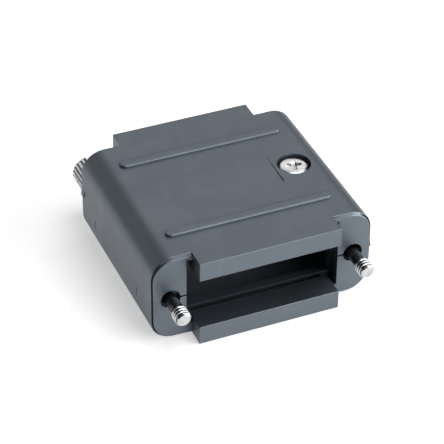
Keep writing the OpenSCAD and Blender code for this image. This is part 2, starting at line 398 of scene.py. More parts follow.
@dataclass
class Effects:
    """Node groups for the effects that several finishes share. Their lengths are in millimetres."""

    grain: bpy.types.NodeTree = field(init=False)
    wear: bpy.types.NodeTree = field(init=False)
    handling: bpy.types.NodeTree = field(init=False)

    def __post_init__(self) -> None:
        """Builds the groups once."""
        self.grain = self.build_grain()
        self.wear = self.build_wear()
        self.handling = self.build_handling()

    @staticmethod
    def millimetres(bench: Bench) -> Socket:
        """The place on the piece, in millimetres.

        Args:
            bench: The bench of the tree that asks for it.

        Returns:
            The socket of the place.
        """
        place = bench.add("ShaderNodeTexCoord").outputs["Object"]
        scaled = bench.add("ShaderNodeVectorMath", {0: place, "Scale": 1 / MM}, operation="SCALE")
        return scaled.outputs[0]

    def build_grain(self) -> bpy.types.NodeTree:
        """Builds the fine pits and swells of an eroded mould or a plated surface.

        Returns:
            The group, which puts out a height and a mask of the pits.
        """
        usual = {"Grain": 0.12, "Pit share": 0.4, "Swell": 3.0, "Swell share": 0.3}
        tree, bench, given = new_group("fine_grain", usual, ["Height", "Pits"])
        place = self.millimetres(bench)
        fine_scale = bench.maths("DIVIDE", 1.0, given.outputs["Grain"])
        fine = bench.add(
            "ShaderNodeTexNoise", {"Vector": place, "Scale": fine_scale, "Detail": 3.0, "Roughness": 0.6}
        ).outputs[0]
        cells = bench.add("ShaderNodeTexVoronoi", {"Vector": place, "Scale": fine_scale}).outputs[0]
        pits = bench.ramp(cells, low=0.0, high=0.45, first=1.0, last=0.0)
        swell_scale = bench.maths("DIVIDE", 1.0, given.outputs["Swell"])
        swell = bench.add(
            "ShaderNodeTexNoise", {"Vector": place, "Scale": swell_scale, "Detail": 1.0}
        ).outputs[0]
        sunk = bench.maths("MULTIPLY", pits, given.outputs["Pit share"])
        surface = bench.maths("SUBTRACT", fine, sunk)
        height = bench.maths("MULTIPLY_ADD", swell, given.outputs["Swell share"], surface)
        end_group(bench, [height, pits])
        return tree

    def build_wear(self) -> bpy.types.NodeTree:
        """Builds the rubbing of edges by handling, broken up along them.

        Returns:
            The group, which puts out a mask of the rubbed places.
        """
        tree, bench, given = new_group("edge_wear", {"Amount": 0.5, "Break-up": 1.5}, ["Mask"])
        edge = bench.add("ShaderNodeAttribute", attribute_name=WEAR).outputs["Fac"]
        scale = bench.maths("DIVIDE", 1.0, given.outputs["Break-up"])
        noise = bench.add(
            "ShaderNodeTexNoise", {"Vector": self.millimetres(bench), "Scale": scale, "Detail": 4.0}
        ).outputs[0]
        patches = bench.ramp(noise, low=0.38, high=0.68, first=0.15, last=1.0)
        broken = bench.maths("MULTIPLY", edge, patches)
        end_group(bench, [bench.maths("MULTIPLY", broken, given.outputs["Amount"])])
        return tree

    def build_handling(self) -> bpy.types.NodeTree:
        """Builds soft smudges and a few fine scratches.

        Returns:
            The group, which puts out a mask of each.
        """
        tree, bench, given = new_group(
            "handling", {"Smudge": 6.0, "Scratch": 1.2}, ["Smudges", "Scratches"]
        )
        place = self.millimetres(bench)
        scale = bench.maths("DIVIDE", 1.0, given.outputs["Smudge"])
        noise = bench.add(
            "ShaderNodeTexNoise",
            {"Vector": place, "Scale": scale, "Detail": 3.0, "Distortion": 0.6},
        ).outputs[0]
        smudges = bench.ramp(noise, low=0.4, high=0.7, first=0.0, last=1.0)
        turned = bench.add(
            "ShaderNodeVectorRotate", {"Vector": place, "Axis": (0.3, 0.2, 1.0), "Angle": 0.7}
        ).outputs[0]
        long_and_thin = (0.12, 2.4, 1.0)
        stretched = bench.add(
            "ShaderNodeVectorMath", {0: turned, 1: long_and_thin}, operation="MULTIPLY"
        ).outputs[0]
        line_scale = bench.maths("DIVIDE", 2.0, given.outputs["Scratch"])
        lines = bench.add("ShaderNodeTexNoise", {"Vector": stretched, "Scale": line_scale}).outputs[0]
        scratches = bench.ramp(lines, low=0.68, high=0.76, first=0.0, last=1.0)
        end_group(bench, [smudges, scratches])
        return tree


@dataclass(frozen=True)
class Finish:
    """What the finishes share: a fine grain, and a roughness that handling changes.

    The grain's breadth is in millimetres. The three changes are what smudges, scratches and wear
    add to the roughness.
    """

    name: str
    roughness: float
    smudge_change: float
    scratch_change: float
    wear_change: float
    grain: float
    grain_depth: float
    relief: float

    def handled(self, bench: Bench, marks: Node, worn: Socket) -> Value:
        """Changes the roughness where the surface was handled.

        Args:
            bench: The material's bench.
            marks: The node of the handling group.
            worn: The socket of the wear mask.

        Returns:
            The socket of the roughness.
        """
        roughness: Value = self.roughness
        changes = (
            (marks.outputs["Smudges"], self.smudge_change),
            (marks.outputs["Scratches"], self.scratch_change),
            (worn, self.wear_change),
        )
        for mask, change in changes:
            roughness = bench.maths("MULTIPLY_ADD", mask, change, roughness)
        return roughness

    def normal(self, bench: Bench, grain: Node) -> Socket:
        """Lets the grain stand out of the surface.

        Args:
            bench: The material's bench.
            grain: The node of the grain group.

        Returns:
            The socket of the normal.
        """
        height = grain.outputs["Height"]
        inputs = {"Height": height, "Strength": self.relief, "Distance": self.grain_depth}
        return bench.add("ShaderNodeBump", inputs).outputs[0]


@dataclass(frozen=True)
class MouldedPlastic(Finish):
    """Satin black plastic from a spark-eroded mould."""

    name: str = "satin_moulding"
    colour: Colour = grey(0.0188, 0.24)
    smudged: Colour = grey(0.026, 0.16)
    pitted: Colour = grey(0.012, 0.1)
    worn: Colour = grey(0.07, 0.12)
    pit_share: float = 0.25
    sheen_tint: Colour = (0.755, 0.872, 1.0, 1.0)
    roughness: float = 0.47
    smudge_change: float = -0.05
    scratch_change: float = 0.08
    wear_change: float = -0.04
    specular: float = 0.96
    ior: float = 1.8
    grain: float = 0.14
    grain_depth: float = 0.016 * MM
    relief: float = 0.5
    wear: float = 0.25

    def build(self, effects: Effects) -> bpy.types.Material:
        """Builds the material.

        Args:
            effects: The shared effects.

        Returns:
            The material.
        """
        material, bench = new_material(self.name)
        grain = bench.group(effects.grain, {"Grain": self.grain, "Swell": 5.0, "Swell share": 0.35})
        marks = bench.group(effects.handling, {"Smudge": 7.0, "Scratch": 1.6})
        worn = bench.group(effects.wear, {"Amount": self.wear, "Break-up": 1.2}).outputs["Mask"]
        tone = bench.blend(marks.outputs["Smudges"], self.colour, self.smudged)
        pits = bench.maths("MULTIPLY", grain.outputs["Pits"], self.pit_share)
        colour = bench.blend(worn, bench.blend(pits, tone, self.pitted), self.worn)
        shader = bench.add(
            "ShaderNodeBsdfPrincipled",
            {
                "Base Color": colour,
                "Roughness": self.handled(bench, marks, worn),
                "IOR": self.ior,
                "Specular IOR Level": self.specular,
                "Specular Tint": self.sheen_tint,
                "Normal": self.normal(bench, grain),
            },
        )
        bench.add("ShaderNodeOutputMaterial", {"Surface": shader.outputs[0]})
        return material


@dataclass(frozen=True)
class PlatedMetal(Finish):
    """Bright nickel plating over a formed or turned blank, with painted shade on marked faces.

    The smudges' breadth is in millimetres too.
    """

    colour: Colour = (0.78, 0.78, 0.77, 1.0)
    dulled: Colour = (0.68, 0.69, 0.7, 1.0)
    bright: Colour = (0.94, 0.94, 0.93, 1.0)
    # painted shade colour, laid on the faces marked for shade
    shade_colour: Colour = (0.12, 0.12, 0.13, 1.0)
    roughness: float = 0.24
    smudge_change: float = 0.12
    scratch_change: float = 0.1
    wear_change: float = -0.08
    grain: float = 0.09
    grain_depth: float = 0.006 * MM
    relief: float = 0.4
    smudge: float = 1.4

    def build(self, effects: Effects) -> bpy.types.Material:
        """Builds the material.

        Args:
            effects: The shared effects.

        Returns:
            The material.
        """
        material, bench = new_material(self.name)
        grain = bench.group(effects.grain, {"Grain": self.grain, "Swell": 0.9, "Swell share": 0.5})
        marks = bench.group(effects.handling, {"Smudge": self.smudge, "Scratch": 0.5})
        worn = bench.group(effects.wear, {"Amount": 0.8, "Break-up": 0.6}).outputs["Mask"]
        tone = bench.blend(marks.outputs["Smudges"], self.colour, self.dulled)
        # painted shade: the marked faces are darkened towards the shade colour
        shade_mask = bench.add("ShaderNodeAttribute", attribute_name=PAINTED_SHADE).outputs["Fac"]
        colour = bench.blend(shade_mask, bench.blend(worn, tone, self.bright), self.shade_colour)
        shader = bench.add(
            "ShaderNodeBsdfPrincipled",
            {
                "Base Color": colour,
                "Roughness": self.handled(bench, marks, worn),
                "Metallic": 1.0,
                "Normal": self.normal(bench, grain),
            },
        )
        bench.add("ShaderNodeOutputMaterial", {"Surface": shader.outputs[0]})
        return material


# Pieces


def settle(
    piece: bpy.types.Object, body: Body, node: str, material: bpy.types.Material
) -> None:
    """Dresses a piece, lets it stand for its CAD node and ties it to its body.

    Args:
        piece: The piece.
        body: The body that it rides on.
        node: The CAD node that it stands for.
        material: Its finish.
    """
    for face in piece.data.polygons:
        face.material_index = 0
    piece.data.materials.clear()
    piece.data.materials.append(material)
    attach(piece, body.value)
    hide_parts(node)
    LOG.info("%s: %d faces, on %s", piece.name, len(piece.data.polygons), body.value)


def mark_faces(
    piece: bpy.types.Object, name: str, share: Callable[[bpy.types.MeshPolygon], float]
) -> None:
    """Writes each face's share of something to an attribute.

    Args:
        piece: The piece.
        name: The attribute's name.
        share: Gives a face's share, from 0 to 1.
    """
    mesh = piece.data
    attribute = mesh.attributes.new(name, "FLOAT", "CORNER")
    values = np.zeros(len(mesh.loops), np.float32)
    for face in mesh.polygons:
        values[face.loop_start : face.loop_start + face.loop_total] = share(face)
    attribute.data.foreach_set("value", values)


def regions(
    bm: bmesh.types.BMesh, joins: Callable[[bmesh.types.BMEdge], bool]
) -> tuple[dict[bmesh.types.BMFace, int], int]:
    """Sorts a mesh's faces into regions.

    Args:
        bm: A closed mesh.
        joins: Tells whether an edge joins the two faces beside it to one region.

    Returns:
        The number of each face's region, and how many regions there are.
    """
    found: dict[bmesh.types.BMFace, int] = {}
    count = 0
    for first in bm.faces:
        if first in found:
            continue
        found[first] = count
        waiting = [first]
        while waiting:
            for edge in filter(joins, waiting.pop().edges):
                for face in edge.link_faces:
                    if face not in found:
                        found[face] = count
                        waiting.append(face)
        count += 1
    return found, count


@dataclass(frozen=True)
class MouldRadii:
    """The small radii that a mould leaves on the edges of a part.

    The flat faces are filled anew between the rounded edges, because the long triangles of the
    loaded surface would fold where their corners move. Edges that turn more than the sharpest
    angle are rounded, and faces within the flat angle of each other count as one flat face. All
    three angles are in degrees.
    """

    radius: float = 0.11 * MM
    sharpest: float = 24.0
    flat: float = 0.3
    blended: float = 50.0
    breadth_share: float = 0.35
    least_share: float = 0.25
    curve_pull: float = 0.1
    least_rim: float = 1e-9
    merge: float = 0.0005 * MM

    def breadths(self, bm: bmesh.types.BMesh) -> dict[bmesh.types.BMFace, float]:
        """Measures the smooth surfaces that the faces belong to.

        Args:
            bm: The mesh.

        Returns:
            The mean breadth of each face's surface.
        """
        sharp = math.radians(self.sharpest)
        smooth, count = regions(bm, lambda edge: edge.calc_face_angle(math.pi) < sharp)
        areas = [0.0] * count
        rims = [self.least_rim] * count
        for face, region in smooth.items():
            areas[region] += face.calc_area()
            for edge in face.edges:
                if any(smooth[beside] != region for beside in edge.link_faces):
                    rims[region] += edge.calc_length()
        return {face: 2 * areas[region] / rims[region] for face, region in smooth.items()}

    def set_weights(
        self, bm: bmesh.types.BMesh, limit: Callable[[bmesh.types.BMEdge], float]
    ) -> None:
        """Gives each sharp edge its share of the radius, less beside narrow surfaces.

        Args:
            bm: The mesh, which has a layer for the weights.
            limit: The largest share that an edge may have.
        """
        layer = bm.edges.layers.float[BEVEL_WEIGHT]
        sharp = math.radians(self.sharpest)
        breadths = self.breadths(bm)
        for edge in bm.edges:
            edge[layer] = 0.0
            if edge.is_manifold and edge.calc_face_angle() > sharp:
                narrowest = min(breadths[face] for face in edge.link_faces)
                share = min(1.0, self.breadth_share * narrowest / self.radius)
                if share >= self.least_share:
                    edge[layer] = min(share, limit(edge))

    def number_flats(self, bm: bmesh.types.BMesh) -> dict[int, Vector]:
        """Writes the number of its flat region onto each face.

        Args:
            bm: The mesh, which has a layer for the numbers.

        Returns:
            The normal of each region.
        """
        layer = bm.faces.layers.int[REGION]
        flat = math.radians(self.flat)
        numbers, _ = regions(bm, lambda edge: edge.calc_face_angle(math.pi) < flat)
        normals: dict[int, Vector] = {}
        for face, region in numbers.items():
            face[layer] = region
            face.material_index = FLAT
            normals[region] = normals.get(region, Vector()) + face.normal * face.calc_area()
        return {region: normal.normalized() for region, normal in normals.items()}

    @staticmethod
    def refill(bm: bmesh.types.BMesh, normals: dict[int, Vector]) -> None:
        """Fills each flat region of three or more faces anew, from its border inwards.

        Args:
            bm: The mesh, whose rounded edges have their own material index.
            normals: The normal of each region.
        """
        layer = bm.faces.layers.int[REGION]
        flats: dict[int, list[bmesh.types.BMFace]] = {}
        for face in bm.faces:
            if face.material_index == FLAT:
                flats.setdefault(face[layer], []).append(face)
        for region, faces in flats.items():
            if len(faces) < 3:
                continue
            inside = set(faces)
            around = dict.fromkeys(edge for face in faces for edge in face.edges)
            inner = [edge for edge in around if inside.issuperset(edge.link_faces)]
            border = [edge for edge in around if not inside.issuperset(edge.link_faces)]
            bmesh.ops.delete(bm, geom=faces, context="FACES_ONLY")
            bmesh.ops.delete(bm, geom=inner, context="EDGES")
            made = bmesh.ops.triangle_fill(
                bm, use_beauty=True, edges=border, normal=normals[region]
            )
            for face in made["geom"]:
                if not isinstance(face, bmesh.types.BMFace):
                    continue
                face.normal_update()
                if face.normal.dot(normals[region]) < 0:
                    face.normal_flip()
                face[layer] = region
                face.material_index = FLAT
        loose = [vert for vert in bm.verts if not vert.link_faces]
        bmesh.ops.delete(bm, geom=loose, context="VERTS")
        bm.normal_update()

    def corner_normals(self, bm: bmesh.types.BMesh) -> list[Vector]:
        """Finds normals with which flat faces stay flat and the curves run on from them.

        Args:
            bm: The mesh, whose rounded edges have their own material index.

        Returns:
            The normal of each corner of each face, in order.
        """
        layer = bm.faces.layers.int[REGION]
        areas: dict[int, float] = {}
        for face in bm.faces:
            if face.material_index == FLAT:
                areas[face[layer]] = areas.get(face[layer], 0.0) + face.calc_area()
        pull = {}
        for face in bm.faces:
            is_flat = face.material_index == FLAT
            pull[face] = areas[face[layer]] if is_flat else face.calc_area() * self.curve_pull
        reach = math.cos(math.radians(self.blended))
        normals = []
        for face in bm.faces:
            for vert in face.verts:
                total = Vector()
                for beside in vert.link_faces:
                    if beside.normal.dot(face.normal) > reach:
                        total += beside.normal * pull[beside]
                normals.append(total.normalized())
        return normals

    def round(
        self,
        name: str,
        source: bpy.types.Mesh,
        limit: Callable[[bmesh.types.BMEdge], float],
        reshape: Callable[[bmesh.types.BMesh], None],
    ) -> bpy.types.Object:
        """Makes a piece with rounded edges from a loaded mesh.

        Args:
            name: The piece's name.
            source: The mesh of a CAD node, which stays as it is.
            limit: The largest share of the radius that an edge may have.
            reshape: Changes the copied mesh before its edges are rounded.

        Returns:
            The piece, whose rounded faces have their own material index.
        """
        bm = bmesh.new()
        bm.from_mesh(source)
        bmesh.ops.remove_doubles(bm, verts=bm.verts, dist=self.merge)
        reshape(bm)
        bm.faces.layers.int.new(REGION)
        bm.edges.layers.float.new(BEVEL_WEIGHT)
        self.set_weights(bm, limit)
        normals = self.number_flats(bm)
        piece = smooth_piece(name, bm, self.sharpest)
        piece.data.materials.clear()
        for _ in (FLAT, ROUNDED):
            piece.data.materials.append(None)
        rounding = piece.modifiers.new("mould_radii", "BEVEL")
        rounding.limit_method = "WEIGHT"
        rounding.width = self.radius
        rounding.segments = 2
        rounding.use_clamp_overlap = False
        rounding.loop_slide = False
        rounding.material = ROUNDED
        apply_modifiers(piece)
        bm = bmesh.new()
        bm.from_mesh(piece.data)
        self.refill(bm, normals)
        corners = self.corner_normals(bm)
        bm.to_mesh(piece.data)
        bm.free()
        piece.data.shade_smooth()
        piece.data.normals_split_custom_set(corners)
        return piece


@dataclass(frozen=True)
class RoofRib:
    """The ribs across the roof: flat on top, with steep flanks and small shoulder radii.

    A squareness of 2 would make the section a half ellipse.
    """

    roof_z: float = 16.8 * MM
    height: float = 0.45 * MM
    middle_y: float = 10.6 * MM
    half_w: float = 1.0 * MM
    half_straight: float = 14.1 * MM
    squareness: float = 4.5
    foot_share: float = 0.1
    slack: float = 0.001 * MM

    def away(self, place: Vector) -> float:
        """Distance across the roof from the nearer rib's middle line."""
        along = max(0.0, abs(place.x) - self.half_straight)
        return math.hypot(along, abs(place.y) - self.middle_y)

    def is_foot(self, place: Vector) -> bool:
        """Whether a corner lies in the roof where a rib stands on it."""
        beside = abs(self.away(place) - self.half_w) < self.foot_share * self.half_w
        return beside and abs(place.z - self.roof_z) < self.slack

    def reshape(self, bm: bmesh.types.BMesh) -> None:
        """Turns the half-round section of the loaded ribs into the flatter one, in place.

        Args:
            bm: The upper shell's mesh.
        """
        for vert in bm.verts:
            away = self.away(vert.co)
            if vert.co.z < self.roof_z + self.slack or away > self.half_w:
                continue
            angle = math.pi / 2 * away / self.half_w
            power = 2 / self.squareness
            reach = self.half_w * math.sin(angle) ** power
            vert.co.z = self.roof_z + self.height * math.cos(angle) ** power
            if away > self.slack:
                along = math.copysign(max(0.0, abs(vert.co.x) - self.half_straight), vert.co.x)
                across = vert.co.y - math.copysign(self.middle_y, vert.co.y)
                vert.co.x += along * (reach / away - 1)
                vert.co.y += across * (reach / away - 1)
        bm.normal_update()


@dataclass(frozen=True)
class LabelField:
    """The sunk field for a label, whose floor rises to the roof towards the heads."""

    floor_z: float = 16.55 * MM
    roof_z: float = 16.8 * MM
    half_d: float = 4.0 * MM
    least: float = 0.01 * MM
    slack: float = 0.001 * MM

    def reshape(self, bm: bmesh.types.BMesh) -> None:
        """Tilts the field's level floor, in place.

        Args:
            bm: The upper shell's mesh.
        """
        depth = self.roof_z - self.floor_z
        for vert in bm.verts:
            in_field = abs(vert.co.y) < self.half_d + self.slack
            if in_field and abs(vert.co.z - self.floor_z) < self.slack:
                share = (self.half_d - vert.co.y) / (2 * self.half_d)
                vert.co.z = self.roof_z - max(self.least, depth * share)


@dataclass(frozen=True)
class EndFace:
    """The edges of the end faces, with a shadow groove up each side and sharp tab roots.

    The chamfer's faces are told by their tilt, the part of their normal that points along Y. The
    groove fades in where a side's normal points between the two fade shares along X.
    """

    rim_y: float = 16.45 * MM
    face_y: float = 16.95 * MM
    split_z: float = 8.4 * MM
    tilt: tuple[float, float] = (0.3, 0.9)
    fade: tuple[float, float] = (0.4, 0.85)
    groove_depth: float = 0.55 * MM
    groove_inset: float = 0.05 * MM
    groove_half: float = 0.12 * MM
    tab_x: float = 12.8 * MM
    root_reach: float = 0.41 * MM
    notch_top: float = 14.35 * MM
    notch_w: float = 1.0 * MM
    notch_rise: float = 1.35 * MM
    slack: float = 0.001 * MM

    def middle(self) -> float:
        """How far the chamfer's middle is from the middle of the hood."""
        return (self.rim_y + self.face_y) / 2

    def chamfer(self, bm: bmesh.types.BMesh) -> list[bmesh.types.BMFace]:
        """Finds the chamfers round the end faces.

        Args:
            bm: A shell's mesh.

        Returns:
            Their faces.
        """
        low, high = self.rim_y - self.slack, self.face_y + self.slack
        flattest, steepest = self.tilt
        tilted = [face for face in bm.faces if flattest < abs(face.normal.y) < steepest]
        return [face for face in tilted if all(low < abs(v.co.y) < high for v in face.verts)]

    def is_groove(self, place: Vector) -> bool:
        """Whether a place is within the groove's strip of the chamfer.

        Args:
            place: The place.

        Returns:
            True from the groove's foot to its outer edge, but not on the chamfer's rim.
        """
        deepest = self.middle() - self.groove_depth - self.slack
        outermost = self.middle() + self.groove_half + self.slack
        at_rim = abs(abs(place.y) - self.rim_y) < self.slack
        return deepest < abs(place.y) < outermost and not at_rim

    def score(self, bm: bmesh.types.BMesh) -> None:
        """Cuts the chamfers along the groove's middle and both its edges, in place.

        Args:
            bm: A shell's mesh.
        """
        strip = self.chamfer(bm)
        for side in (-1, 1):
            for aside in (-self.groove_half, 0.0, self.groove_half):
                edges = dict.fromkeys(edge for face in strip for edge in face.edges)
                verts = dict.fromkeys(vert for face in strip for vert in face.verts)
                made = bmesh.ops.bisect_plane(
                    bm,
                    geom=[*strip, *edges, *verts],
                    dist=self.slack / 10,
                    plane_co=(0, side * (self.middle() + aside), 0),
                    plane_no=(0, 1, 0),
                )
                strip = [item for item in made["geom"] if isinstance(item, bmesh.types.BMFace)]
        bmesh.ops.triangulate(bm, faces=self.chamfer(bm))
        bm.normal_update()

    def groove(self, bm: bmesh.types.BMesh) -> None:
        """Sinks a groove into the chamfers, in place, that runs out round the corners.

        Args:
            bm: A shell's mesh.
        """
        self.score(bm)
        start, full = self.fade
        moves = []
        for vert in dict.fromkeys(vert for face in self.chamfer(bm) for vert in face.verts):
            if abs(abs(vert.co.y) - self.middle()) > self.slack:
                continue
            at_split = abs(vert.co.z - self.split_z) < self.slack
            outward = Vector((vert.normal.x, 0, 0.0 if at_split else vert.normal.z)).normalized()
            share = ease((abs(outward.x) - start) / (full - start))
            inward = outward * (self.groove_inset * share)
            inward.y = math.copysign(self.groove_depth * share, vert.co.y)
            moves.append((vert, inward))
        for vert, inward in moves:
            vert.co -= inward
        bm.normal_update()

    def raise_notches(self, bm: bmesh.types.BMesh) -> None:
        """Lets the notches beside the upper tabs reach higher at the end faces, in place.

        Args:
            bm: The upper shell's mesh.
        """
        for vert in bm.verts:
            beside = abs(vert.co.x) - self.tab_x
            at_top = abs(vert.co.z - self.notch_top) < self.slack
            at_face = abs(abs(vert.co.y) - self.face_y) < self.slack
            if at_top and at_face and -self.slack < beside < self.notch_w + self.slack:
                vert.co.z += self.notch_rise
        bm.normal_update()

    def square_roots(self, bm: bmesh.types.BMesh) -> None:
        """Takes the fillets out of the tabs' roots, in place, which a sharp insert forms.

        Args:
            bm: A shell's mesh.
        """
        merge = []
        for vert in bm.verts:
            beside = abs(vert.co.x) - self.tab_x
            before = abs(vert.co.y) - self.face_y
            if -self.slack < beside < self.root_reach and -self.slack < before < self.root_reach:
                vert.co.x = math.copysign(self.tab_x, vert.co.x)
                vert.co.y = math.copysign(self.face_y, vert.co.y)
                merge.append(vert)
        bmesh.ops.remove_doubles(bm, verts=merge, dist=self.slack)
        bm.normal_update()


@dataclass(frozen=True)
class HalfShell:
    """One moulded half of the hood."""

    node: str
    split_z: float
    radii: MouldRadii = MouldRadii()
    parting_share: float = 0.6
    insert_z: float = 14.8 * MM
    insert_reach: float = 4.4 * MM
    inner_z: tuple[float, float] = (1.85 * MM, 14.95 * MM)
    inner_y: float = 16.6 * MM
    inner_x: float = 19.75 * MM
    rib: RoofRib = RoofRib()
    label: LabelField = LabelField()
    end_face: EndFace = EndFace()

    def edge_share(self, edge: bmesh.types.BMEdge) -> float:
        """Largest share of the mould's radius at an edge.

        Along the side walls the shells meet without a visible line. The label field, the
        counterbore and the ribs' feet are crisp, because inserts and engraving in the mould
        form them. The edges inside stay as they are.

        Args:
            edge: An edge of the shell.

        Returns:
            The share, from 0 to 1.
        """
        places = [vert.co for vert in edge.verts]
        if all(self.is_inside(place) for place in places):
            return 0.0
        if all(abs(place.z - self.split_z) < self.radii.merge for place in places):
            at_end = all(abs(place.y) > self.inner_y - self.radii.merge for place in places)
            return self.parting_share if at_end else 0.0
        if all(place.z > self.insert_z and abs(place.y) < self.insert_reach for place in places):
            return 0.0
        if all(self.rib.is_foot(place) or self.end_face.is_groove(place) for place in places):
            return 0.0
        return 1.0

    def reshape(self, bm: bmesh.types.BMesh) -> None:
        """Gives the small details of the loaded mesh their moulded form.

        Args:
            bm: The shell's mesh.
        """
        self.label.reshape(bm)
        self.rib.reshape(bm)
        self.end_face.square_roots(bm)
        self.end_face.raise_notches(bm)
        self.end_face.groove(bm)

    def is_inside(self, place: Vector) -> bool:
        """Whether a corner lies within the hollow behind the end faces."""
        low, high = self.inner_z
        return low < place.z < high and abs(place.y) < self.inner_y and abs(place.x) < self.inner_x

    def build(self, material: bpy.types.Material) -> bpy.types.Object:
        """Builds the shell from its CAD node's surface and rounds its edges.

        Args:
            material: Its finish.

        Returns:
            The piece.
        """
        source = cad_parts[self.node].data
        piece = self.radii.round(f"{self.node}_moulding", source, self.edge_share, self.reshape)
        mark_faces(piece, WEAR, lambda face: face.material_index == ROUNDED)
        settle(piece, Body.HOOD, self.node, material)
        return piece


@dataclass(frozen=True)
class ClosingScrew:
    """Pan-head screw with a cross recess and a coarse thread for plastic.

    The head's share is its width beside the CAD node's, and the recess's turn is in degrees.
    """

    node: str = "closing_screw"
    head_h: float = 1.7 * MM
    rim_h: float = 1.3 * MM
    head_share: float = 0.965
    head_fillet: float = 0.12 * MM
    crown_share: float = 0.02
    thread_r: float = 1.4 * MM
    core_r: float = 1.0 * MM
    pitch: float = 1.06 * MM
    crest_share: float = 0.08
    root_share: float = 0.5
    neck: float = 0.1 * MM
    tip_r: float = 0.25 * MM
    recess_span: float = 3.1 * MM
    recess_w: float = 0.85 * MM
    recess_foot: float = 1.5 * MM
    recess_taper: float = 0.18
    recess_bend: float = 1.3
    recess_depth: float = 0.5 * MM
    recess_levels: tuple[float, ...] = (-0.6, 0.0, 0.35, 0.7, 1.0)
    recess_corner: float = 1.35
    recess_turn: float = -12.0
    # painted shade in the driver's cross
    recess_shade: float = 0.3
    recess_slack: float = 0.05 * MM
    recess_edge: float = 0.04 * MM
    dome_steps: int = 8
    steps: int = 72

    def head(self, head_r: float, seat: float, top: float) -> bpy.types.Object:
        """Turns the pan head.

        Args:
            head_r: Its radius.
            seat: Height of its lower face.
            top: Height of its crown.

        Returns:
            The head, on the origin's axis.
        """
        rim = seat + self.rim_h
        profile = [
            (head_r - self.head_fillet, seat),
            (head_r, seat + self.head_fillet),
            (head_r, rim),
        ]
        for step in range(1, self.dome_steps):
            angle = math.pi / 2 * step / self.dome_steps
            profile.append((head_r * math.cos(angle), rim + (top - rim) * math.sin(angle)))
        profile.append((self.crown_share * head_r, top))
        return smooth_piece("closing_screw_head", lathe(profile, self.steps))

    def recess(self, top: float) -> bpy.types.Object:
        """Makes the driver's cross, narrowing to its foot, as a cutting tool.

        Args:
            top: Height of the head's crown.

        Returns:
            The tool, which stands out of the head by its first level.
        """
        bm = bmesh.new()
        rings = []
        for level in self.recess_levels:
            share = max(0.0, level)
            narrowing = (self.recess_foot - self.recess_span) * share**self.recess_bend
            width = self.recess_w * (1 - self.recess_taper * share)
            outline = self.cross((self.recess_span + narrowing) / 2, width / 2)
            height = top - self.recess_depth * level
            rings.append([bm.verts.new((x, y, height)) for x, y in outline])
        skin(bm, list(reversed(rings)))
        return smooth_piece("recess_tool", bm)

    def cross(self, reach: float, half: float) -> list[tuple[float, float]]:
        """Draws a cross with small cut corners between its arms.

        Args:
            reach: From its middle to the end of an arm.
            half: Half an arm's width.

        Returns:
            The points of its outline.
        """
        inner = half * self.recess_corner
        arm = [(reach, -half), (reach, half), (inner, half), (half, inner)]
        points = []
        for quarter in range(4):
            c, s = math.cos(math.pi / 2 * quarter), math.sin(math.pi / 2 * quarter)
            points += [(c * x - s * y, s * x + c * y) for x, y in arm]
        return points

    def shade_share(self, face: bpy.types.MeshPolygon, top: float) -> float:
        """How much painted shade a face gets, which the driver's cross does from its edge down.

        Args:
            face: A face of the screw, which still stands on the origin's axis.
            top: Height of the head's crown.

        Returns:
            The share of painted shade, from 0 to 1.
        """
        depth = top - face.center.z
        away = math.hypot(face.center.x, face.center.y)
        reach = self.recess_span / 2
        fall = (self.head_h - self.rim_h) / 2 * (away / reach) ** 2
        in_reach = away < reach + self.recess_slack and depth < self.recess_depth + self.recess_slack
        return self.recess_shade if in_reach and depth > fall + self.recess_edge else 0.0

    def build(self, material: bpy.types.Material) -> bpy.types.Object:
        """Builds the screw on its CAD node's axis.

        Args:
            material: Its finish.

        Returns:
            The piece.
        """
        low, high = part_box(self.node)
        seat = high.z - self.head_h
        piece = self.head(self.head_share * (high.x - low.x) / 2, seat, high.z)
        tool = self.recess(high.z)
        tool.rotation_euler.z = math.radians(self.recess_turn)
        bpy.context.view_layer.update()
        cut(piece, tool)
        bm = bmesh.new()
        bm.from_mesh(piece.data)
        thread = HelicalThread(
            crest_r=self.thread_r,
            root_r=self.core_r,
            shank_r=self.core_r,
            pitch=self.pitch,
            start=low.z,
            end=seat - self.neck,
            tip_r=self.tip_r,
            crest_share=self.crest_share,
            root_share=self.root_share,
        )
        lowest, highest = thread.add_to(bm)
        bm.faces.new(list(reversed(lowest)))
        bm.faces.new(highest)
        bmesh.ops.recalc_face_normals(bm, faces=bm.faces)
        bpy.data.objects.remove(piece)
        piece = smooth_piece("closing_screw_pan_head", bm)
        axis = ((low.x + high.x) / 2, (low.y + high.y) / 2, 0)
        # painted shade down the driver's cross
        mark_faces(piece, PAINTED_SHADE, lambda face: self.shade_share(face, high.z))
        piece.data.transform(Matrix.Translation(axis))
        settle(piece, Body.HOOD, self.node, material)
        return piece


